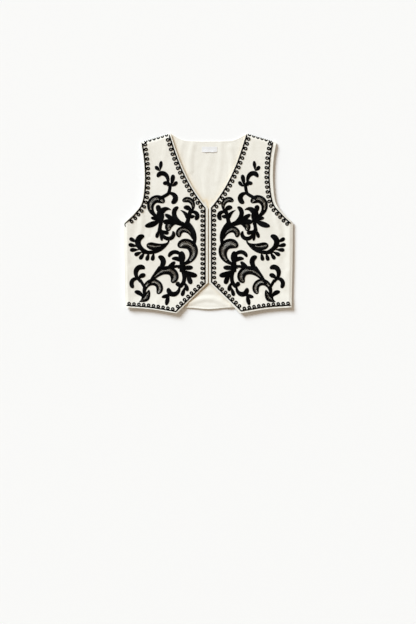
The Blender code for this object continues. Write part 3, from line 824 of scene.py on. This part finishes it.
def embroider(name, ground, side, scale, shift):
    """All the strokes of one front, each with its own height where they cross."""
    work = Stitching()

    def lay(p, height):
        x = (p.real * scale + shift) * side
        return Vector((x, p.imag, ground(x, p.imag) + height))

    for number, (_, form, bu, bv, tu, tv, turn, curl, width) in enumerate(SCROLLS):
        middle = stroke_middle((bu, bv), (tu, tv), turn, curl)
        window = FORMS[form][4]
        count = len(middle) - 1
        raise_by = LEVEL_STEP * (number % LEVELS)
        rings, lengths, openings = [], [], []
        length = 0.0
        for i, m in enumerate(middle):
            t = i / count
            half = stroke_width(form, width, t)
            ahead, behind = middle[min(i + 1, count)], middle[max(i - 1, 0)]
            across = (ahead - behind) / abs(ahead - behind) * 1j
            if 0 < i < count:
                before, after = m - middle[i - 1], middle[i + 1] - m
                turned = math.atan2((after / before).imag, (after / before).real)
                bend = turned / abs(after)
            else:
                bend = 0.0
            is_open = bool(window) and window[0] < t < window[1]
            profile = section(half, is_open)
            ring = []
            for direction in (1, -1):
                reach = half
                if bend * direction > 0:
                    reach = min(half, BEND_ROOM / abs(bend))
                part = []
                for d, h in profile:
                    out = (half - d) * reach / half if half else 0
                    part.append((m + across * direction * out, h))
                ring += part if direction == 1 else part[-2::-1]
            solid = [lay(p, h + (raise_by if h > 0 else 0)) for p, h in ring]
            low = min(solid[0].z, solid[-1].z) - UNDER_EDGE
            for k in (0.75, 0.25):
                at = solid[0].lerp(solid[-1], k)
                under = min(low, ground(at.x, at.y) - UNDER_CLOTH)
                solid.append(Vector((at.x, at.y, under)))
            rings.append(solid)
            if i:
                length += abs(m - middle[i - 1])
            lengths.append(length)
            inner = half - window_rim(half)
            openings.append((m, across, inner if is_open and inner > WINDOW_LEAST else 0.0))
        work.loft(rings, lengths)
        if window:
            net_threads(work, number, openings, lay)
    return work.finish(name)


def net_threads(work, base_number, openings, lay):
    """Needle-made filling of an open window: stitches from both rims, and crossings."""
    count = len(openings)
    for i in range(count):
        m, across, inner = openings[i]
        if not inner:
            continue
        for direction in (1, -1):
            for half_step in (0.0, 0.5):
                j = min(count - 1, i + 1)
                n = openings[j][0]
                base = m + (n - m) * half_step
                way = across * direction
                chance = noise.noise(Vector((base_number * 3.7, i * 1.9 + half_step, direction)))
                share = max(STITCH_LEAST, min(1.0, STITCH_REACH + STITCH_SPREAD * chance))
                reach = inner * share
                lean = (n - m) / max(1e-6, abs(n - m)) * STITCH_LEAN * direction * reach
                start = base + way * (inner + NET_HOLD)
                stop = base + way * (inner - reach) + lean
                add_thread(work, (start, stop), STITCH, lay)
        if i % 2 == 0:
            for j in (i + CROSSING_SPAN, i - CROSSING_SPAN):
                if 0 <= j < count and openings[j][2]:
                    n, other, next_inner = openings[j]
                    start = m + across * (inner + NET_HOLD)
                    stop = n - other * (next_inner + NET_HOLD)
                    add_thread(work, (start, (start + stop) / 2, stop), CROSSING, lay)


def add_thread(work, places, size, lay):
    """One thread of a net; size is its radius and its height above the cloth."""
    radius, height = size
    path = [lay(p, height) for p in places]
    if (path[0] - path[-1]).length > SHORTEST_THREAD:
        work.tube(path, radius, THREAD_SIDES)


def edge_line(column):
    """The cord's line along a front: hem, slant, opening, neckline, shoulder, armhole.

    Returns the line, and where along it each run starts.
    """
    order = [row[0] for row in FRONT_EDGE]
    rows = list(FRONT_EDGE[order.index("side_foot"):])
    rows += list(FRONT_EDGE[:order.index("underarm") + 1])
    corners = [i for i, row in enumerate(rows) if row[3]]
    parts = []
    for a, b in zip(corners, corners[1:]):
        line = Line(curve_through([Vector(row[1:3]) for row in rows[a:b + 1]],
                                  LINE_STEP))
        knots = [0.0]
        for p, q in zip(rows[a:b], rows[a + 1:b + 1]):
            knots.append(knots[-1] + math.dist(p[1:3], q[1:3]))
        values = [row[column] for row in rows[a:b]] + [rows[b - 1][column]]
        part = []
        for mark, p in zip(line.marks, line.points):
            where = mark / line.length * knots[-1]
            n = max(i for i in range(len(knots) - 1) if knots[i] <= where + 1e-6)
            share = (where - knots[n]) / (knots[n + 1] - knots[n])
            deep = values[n] + (values[n + 1] - values[n]) * share
            part.append(p + line.inward(mark, 0.8) * deep)
        parts.append((rows[a][4], part))
    points, starts = list(parts[0][1]), {}
    for run, part in parts[1:]:
        before = (points[-1] - points[-2]).normalized()
        after = (part[1] - part[0]).normalized()
        cross = before.x * after.y - before.y * after.x
        gap = part[0] - points[-1]
        corner = points[-1] + before * (gap.x * after.y - gap.y * after.x) / cross
        while (points[-1] - corner).dot(before) > -CORNER_GAP:
            points.pop()
        while (part[0] - corner).dot(after) < CORNER_GAP:
            part.pop(0)
        points.append(corner)
        starts[run] = len(points) - 1
        points += part
    line = Line(points)
    starts = {run: line.marks[i] for run, i in starts.items()}
    starts["hem"] = 0.0
    return line, starts


def ring_places(line, starts):
    """Run and distance along the line of each ring, evenly apart at the rings' middles."""
    def middle(at):
        return line.at(at) + line.inward(at) * RING_MIDDLE

    out = []
    stretches = ((FIRST_LOOP, starts["shoulder"] - SHOULDER_ROOM[0]),
                 (starts["shoulder"] + SHOULDER_ROOM[1], starts["armhole"] - ARM_ROOM[0]),
                 (starts["armhole"] + ARM_ROOM[1], line.length - LAST_ROOM))
    for start, stop in stretches:
        at = start
        while at < stop:
            run = max((mark, run) for run, mark in starts.items() if mark <= at)[1]
            out.append((run, at))
            here = middle(at)
            while at < stop and (middle(at) - here).length < BRAID[run][0]:
                at += RING_SEARCH
    return out


def edge_cord(name, ground, side, column, tail):
    """Line cord and loops along the edges of one front."""
    line, starts = edge_line(column)
    work = Stitching()

    def on_cloth(p, height):
        return Vector((p.x * side, p.y, ground(p.x * side, p.y) + height))

    def straight_cord(start, stop, extra=()):
        count = round((stop - start) / CORD_STEP)
        path = [line.at(start + (stop - start) * k / count) for k in range(count + 1)]
        path += [Vector(place) for place in extra]
        work.tube([on_cloth(p, LINE_CORD * CORD_HEIGHT) for p in path], LINE_CORD, CORD_SIDES,
                  CORD_FLATNESS)

    def evenly(path, count):
        curve = Line(curve_through([Vector(p) for p in path], 1.0))
        return [curve.at(curve.length * k / count) for k in range(count + 1)]

    straight_cord(2.0, starts["shoulder"] + 1.0)
    straight_cord(starts["armhole"] - 1.0, line.length - 3.0, tail)

    loop_points = evenly(LOOP_PATH, LOOP_POINTS)
    tuck_points = evenly(TUCK_PATH, TUCK_POINTS)
    whole = []
    places = ring_places(line, starts)
    for n, (run, centre) in enumerate(places):
        hub, inward = line.at(centre), line.inward(centre)
        if run == "shoulder":
            path = []
            for q in tuck_points:
                p = line.at(centre + q.x) - line.inward(centre + q.x) * (SEAM_INSET - q.y)
                path.append(on_cloth(p, LOOP_CORD * CORD_HEIGHT + q.z))
            work.tube(path, LOOP_CORD, CORD_SIDES, CORD_FLATNESS)
            continue
        along = Vector((-inward.y, inward.x))
        _, half_width, reach = BRAID[run]
        before = places[n - 1][1] if whole else centre - LOOP_SIZE[0]
        after = places[n + 1][1] if n + 1 < len(places) else centre + LOOP_SIZE[0]
        for q in loop_points[bool(whole):]:
            ring = soft_step(q.y / LOOP_LEAVES)
            room = (after - centre if q.x > 0 else centre - before) / LOOP_SIZE[0]
            x = q.x * (room * (1 - ring) + half_width / LOOP_SIZE[1] * ring)
            y = q.y + (reach - LOOP_SIZE[2]) * soft_step(q.y / LOOP_STRETCH)
            where = max(0.0, min(line.length, centre + x))
            follow = line.at(where) + line.inward(where) * y
            p = follow.lerp(hub + along * x + inward * y, ring)
            whole.append(on_cloth(p, LOOP_CORD * CORD_HEIGHT + q.z))
        if n + 1 == len(places) or places[n + 1][0] == "shoulder":
            work.tube(whole, LOOP_CORD, CORD_SIDES, CORD_FLATNESS)
            whole = []
    return work.finish(name)


# finishes

def finish_named(name, colour, roughness, extra=()):
    """A new material, with its node tree and its shader."""
    made = bpy.data.materials.new(name)
    made.use_nodes = True
    shader = made.node_tree.nodes["Principled BSDF"]
    for key, value in (("Base Color", (*colour, 1)), ("Roughness", roughness), *extra):
        shader.inputs[key].default_value = value
    made.diffuse_color = (*colour, 1)
    return made, made.node_tree, shader


def node(tree, kind, **settings):
    made = tree.nodes.new(kind)
    for key, value in settings.items():
        if key in made.inputs:
            made.inputs[key].default_value = value
        else:
            setattr(made, key, value)
    return made


def texture(tree, kind, place, **settings):
    made = node(tree, kind, **settings)
    tree.links.new(place, made.inputs["Vector"])
    return made.outputs["Fac"]


def maths(tree, operation, *values):
    """A maths node: numbers are set on it, and outputs are linked to it."""
    made = node(tree, "ShaderNodeMath", operation=operation)
    for socket, value in zip(made.inputs, values):
        if isinstance(value, float):
            socket.default_value = value
        else:
            tree.links.new(value, socket)
    return made.outputs[0]


def two_tone(tree, value, dark, low, light, high):
    """A colour that goes from dark, where the value is low, to light, where it is high."""
    made = node(tree, "ShaderNodeValToRGB")
    for stop, colour, place in zip(made.color_ramp.elements, (dark, light), (low, high)):
        stop.position = place
        stop.color = (*colour, 1)
    tree.links.new(value, made.inputs["Fac"])
    return made.outputs["Color"]


def relief(tree, shader, height, strength, depth):
    bump = node(tree, "ShaderNodeBump", Strength=strength, Distance=depth)
    tree.links.new(height, bump.inputs["Height"])
    tree.links.new(bump.outputs["Normal"], shader.inputs["Normal"])


def wool(name, light, dark, scale, shade_tint=None):
    """Brushed wool: mottled cream, a close weave under a fine nap."""
    made, tree, shader = finish_named(name, light, 0.92, (
        ("Sheen Weight", 0.25), ("Sheen Roughness", 0.5), ("Specular IOR Level", 0.25)))
    place = node(tree, "ShaderNodeTexCoord").outputs["Object"]
    mottle = texture(tree, "ShaderNodeTexNoise", place, Scale=28.0, Detail=6.0, Roughness=0.62)
    fleck = texture(tree, "ShaderNodeTexNoise", place, Scale=620.0, Detail=3.0, Roughness=0.7)
    blend = maths(tree, "MULTIPLY_ADD", fleck, 0.55, maths(tree, "MULTIPLY", mottle, 0.8))
    colour = two_tone(tree, blend, dark, 0.44, light, 0.92)
    # painted shade: the colour turns tan near the fronts' free edges, where their shadow falls
    if shade_tint:
        near = node(tree, "ShaderNodeAttribute", attribute_name="painted_shade")
        mix = node(tree, "ShaderNodeMix", data_type="RGBA")
        first, second = (s for s in mix.inputs if s.type == "RGBA")
        second.default_value = (*shade_tint, 1)
        tree.links.new(near.outputs["Fac"], mix.inputs[0])
        tree.links.new(colour, first)
        colour = next(s for s in mix.outputs if s.type == "RGBA")
    tree.links.new(colour, shader.inputs["Base Color"])
    warp, weft = (
        texture(tree, "ShaderNodeTexWave", place, wave_type="BANDS", bands_direction=way,
                Scale=scale, Distortion=0.6, Detail=2.0, **{"Detail Scale": 3.0})
        for way in "XY")
    nap = texture(tree, "ShaderNodeTexNoise", place, Scale=900.0, Detail=4.0, Roughness=0.75)
    weave = maths(tree, "MULTIPLY", warp, weft)
    relief(tree, shader, maths(tree, "MULTIPLY_ADD", nap, 1.4, weave), 0.5, 0.0004)
    return made


def thread(name, dark, light, period, slant, gleam):
    """Stranded thread: fine ridges along the stitches, with a satin gleam."""
    made, tree, shader = finish_named(name, dark, 0.48, (("Specular IOR Level", gleam),))
    place = node(tree, "ShaderNodeTexCoord")
    turn = node(tree, "ShaderNodeMapping", Rotation=(0, 0, math.radians(slant)))
    tree.links.new(place.outputs["UV"], turn.inputs["Vector"])
    strands = texture(tree, "ShaderNodeTexWave", turn.outputs["Vector"], wave_type="BANDS",
                      bands_direction="Y", Scale=0.314 / period, Distortion=1.2, Detail=2.0)
    fuzz = texture(tree, "ShaderNodeTexNoise", place.outputs["Object"], Scale=700.0, Detail=4.0,
                   Roughness=0.7)
    relief(tree, shader, maths(tree, "MULTIPLY_ADD", fuzz, 0.8, strands), 0.7, 0.0005)
    colour = two_tone(tree, fuzz, dark, 0.45, light, 0.85)
    tree.links.new(colour, shader.inputs["Base Color"])
    return made


def dress(piece, material):
    piece.data.materials.clear()
    piece.data.materials.append(material)
    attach(piece, "root")


def neck_tape(name, ground):
    """A blank woven tape, sewn at both ends, its lower edge a little loose."""
    low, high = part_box("label")
    size = high - low
    bpy.ops.object.select_all(action="DESELECT")
    columns, rows = TAPE_GRID
    bpy.ops.mesh.primitive_grid_add(x_subdivisions=columns, y_subdivisions=rows, size=1)
    tape = bpy.context.active_object
    tape.name = name
    tape.data.name = name
    for vertex in tape.data.vertices:
        x, y = vertex.co.x + 0.5, vertex.co.y + 0.5
        loose = (1 - y) ** 2 * (0.5 + 0.5 * math.sin(2 * math.pi * x) ** 2)
        hold = math.sin(math.pi * x) ** 0.5 if 0 < x < 1 else 0
        loose *= hold
        point = Vector((low.x + size.x * x, low.y + size.y * (y - TAPE_SHRINK * loose)))
        z = ground(point.x / MM, point.y / MM) + TAPE_HEIGHT + TAPE_LOOSE * loose
        vertex.co = (point.x, point.y, z * MM)
    walls = tape.modifiers.new("wall", "SOLIDIFY")
    walls.thickness = TAPE_WALL * MM
    walls.offset = -1
    bpy.ops.object.modifier_apply(modifier="wall")
    bpy.ops.object.shade_smooth_by_angle(angle=math.radians(40))
    return tape


cream = wool("cream_wool", (0.86, 0.835, 0.765), (0.78, 0.75, 0.67), 260.0)
# the back's inside, with painted tan shade beside the fronts' edges
inside = wool("cream_wool_inside", (0.865, 0.84, 0.77), (0.80, 0.77, 0.69), 320.0, PAINTED_SHADE_TAN)
BLACK = (0.0010, 0.0010, 0.0011)
black = thread("black_satin_thread", BLACK, (0.005, 0.005, 0.0055), 0.75, 20, 0.03)
cord_black = thread("black_twisted_cord", BLACK, (0.004, 0.004, 0.0045), 1.3, 42, 0.01)
tape_white = wool("woven_tape", (0.83, 0.825, 0.825), (0.78, 0.775, 0.775), 700.0)

back = back_cloth("cloth_back")
# paint the shade that the fronts cast on the back
paint_edge_shade(back)
dress(back, inside)
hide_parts("back_panel")

for hand, side, column, scale, shift, tail in FRONTS:
    cloth = front_cloth("cloth_front_" + hand, "front_" + hand, side, FRONT_SEED + side)
    dress(cloth, cream)
    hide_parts("front_" + hand)
    ground = Ground(cloth)
    scrollwork = embroider("scrollwork_" + hand, ground, side, scale, shift)
    dress(scrollwork, black)
    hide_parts("embroidery_" + hand)
    edging = edge_cord("edging_" + hand, ground, side, column, tail)
    dress(edging, cord_black)
    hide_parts("braid_" + hand)

tape = neck_tape("neck_tape", Ground(back))
dress(tape, tape_white)
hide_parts("label")

# floor, light and camera

FLOOR_SIZE = 8.0
FLOOR_DROP = 0.0002
bpy.ops.object.select_all(action="DESELECT")
bpy.ops.mesh.primitive_plane_add(size=FLOOR_SIZE, location=(0, 0, -FLOOR_DROP))
floor = bpy.context.active_object
floor.name = "floor"
floor.data.materials.append(finish_named("studio_board", (0.885, 0.883, 0.880), 0.9)[0])


def sun(name, energy, spread, colour, come_from):
    """A distant light, as wide as the spread in degrees, from a direction."""
    light = bpy.data.lights.new(name, "SUN")
    light.energy = energy
    light.angle = math.radians(spread)
    light.color = colour
    holder = bpy.data.objects.new(name, light)
    bpy.context.scene.collection.objects.link(holder)
    holder.rotation_euler = Vector(come_from).to_track_quat("Z", "Y").to_euler()


# a broad window of light from the upper left, low enough to show the folds
sun("key", 4.52, 26, (0.825, 0.916, 1.0), (-0.64, 0.66, 0.55))
# a weaker, lower light from the same side draws out the long soft edge of the shadows
sun("low", 0.6, 30, (0.80, 0.905, 1.0), (-0.62, 0.66, 0.27))

world = bpy.data.worlds.new("studio")
bpy.context.scene.world = world
world.use_nodes = True
sky = world.node_tree.nodes["Background"]
sky.inputs["Color"].default_value = (1.0, 0.83, 0.64, 1)
sky.inputs["Strength"].default_value = 0.42

bpy.context.scene.view_settings.view_transform = "Standard"

# the camera looks straight down, with 2.86 mm to a pixel of the 416 x 624 frame, and the
# vest's middle half a pixel right of the frame's and at this row
PIXEL = 0.00286
FRAME_ROWS = 624
VEST_ROW = 223.5
CAMERA_HEIGHT = 6.0
SENSOR = 24.0
camera_data = bpy.data.cameras.new("camera")
camera = bpy.data.objects.new("camera", camera_data)
bpy.context.scene.collection.objects.link(camera)
camera_data.sensor_fit = "VERTICAL"
camera_data.sensor_height = SENSOR
camera_data.lens = SENSOR * CAMERA_HEIGHT / (FRAME_ROWS * PIXEL)
camera.location = (-0.5 * PIXEL, (VEST_ROW - FRAME_ROWS / 2) * PIXEL, CAMERA_HEIGHT)
bpy.context.scene.camera = camera
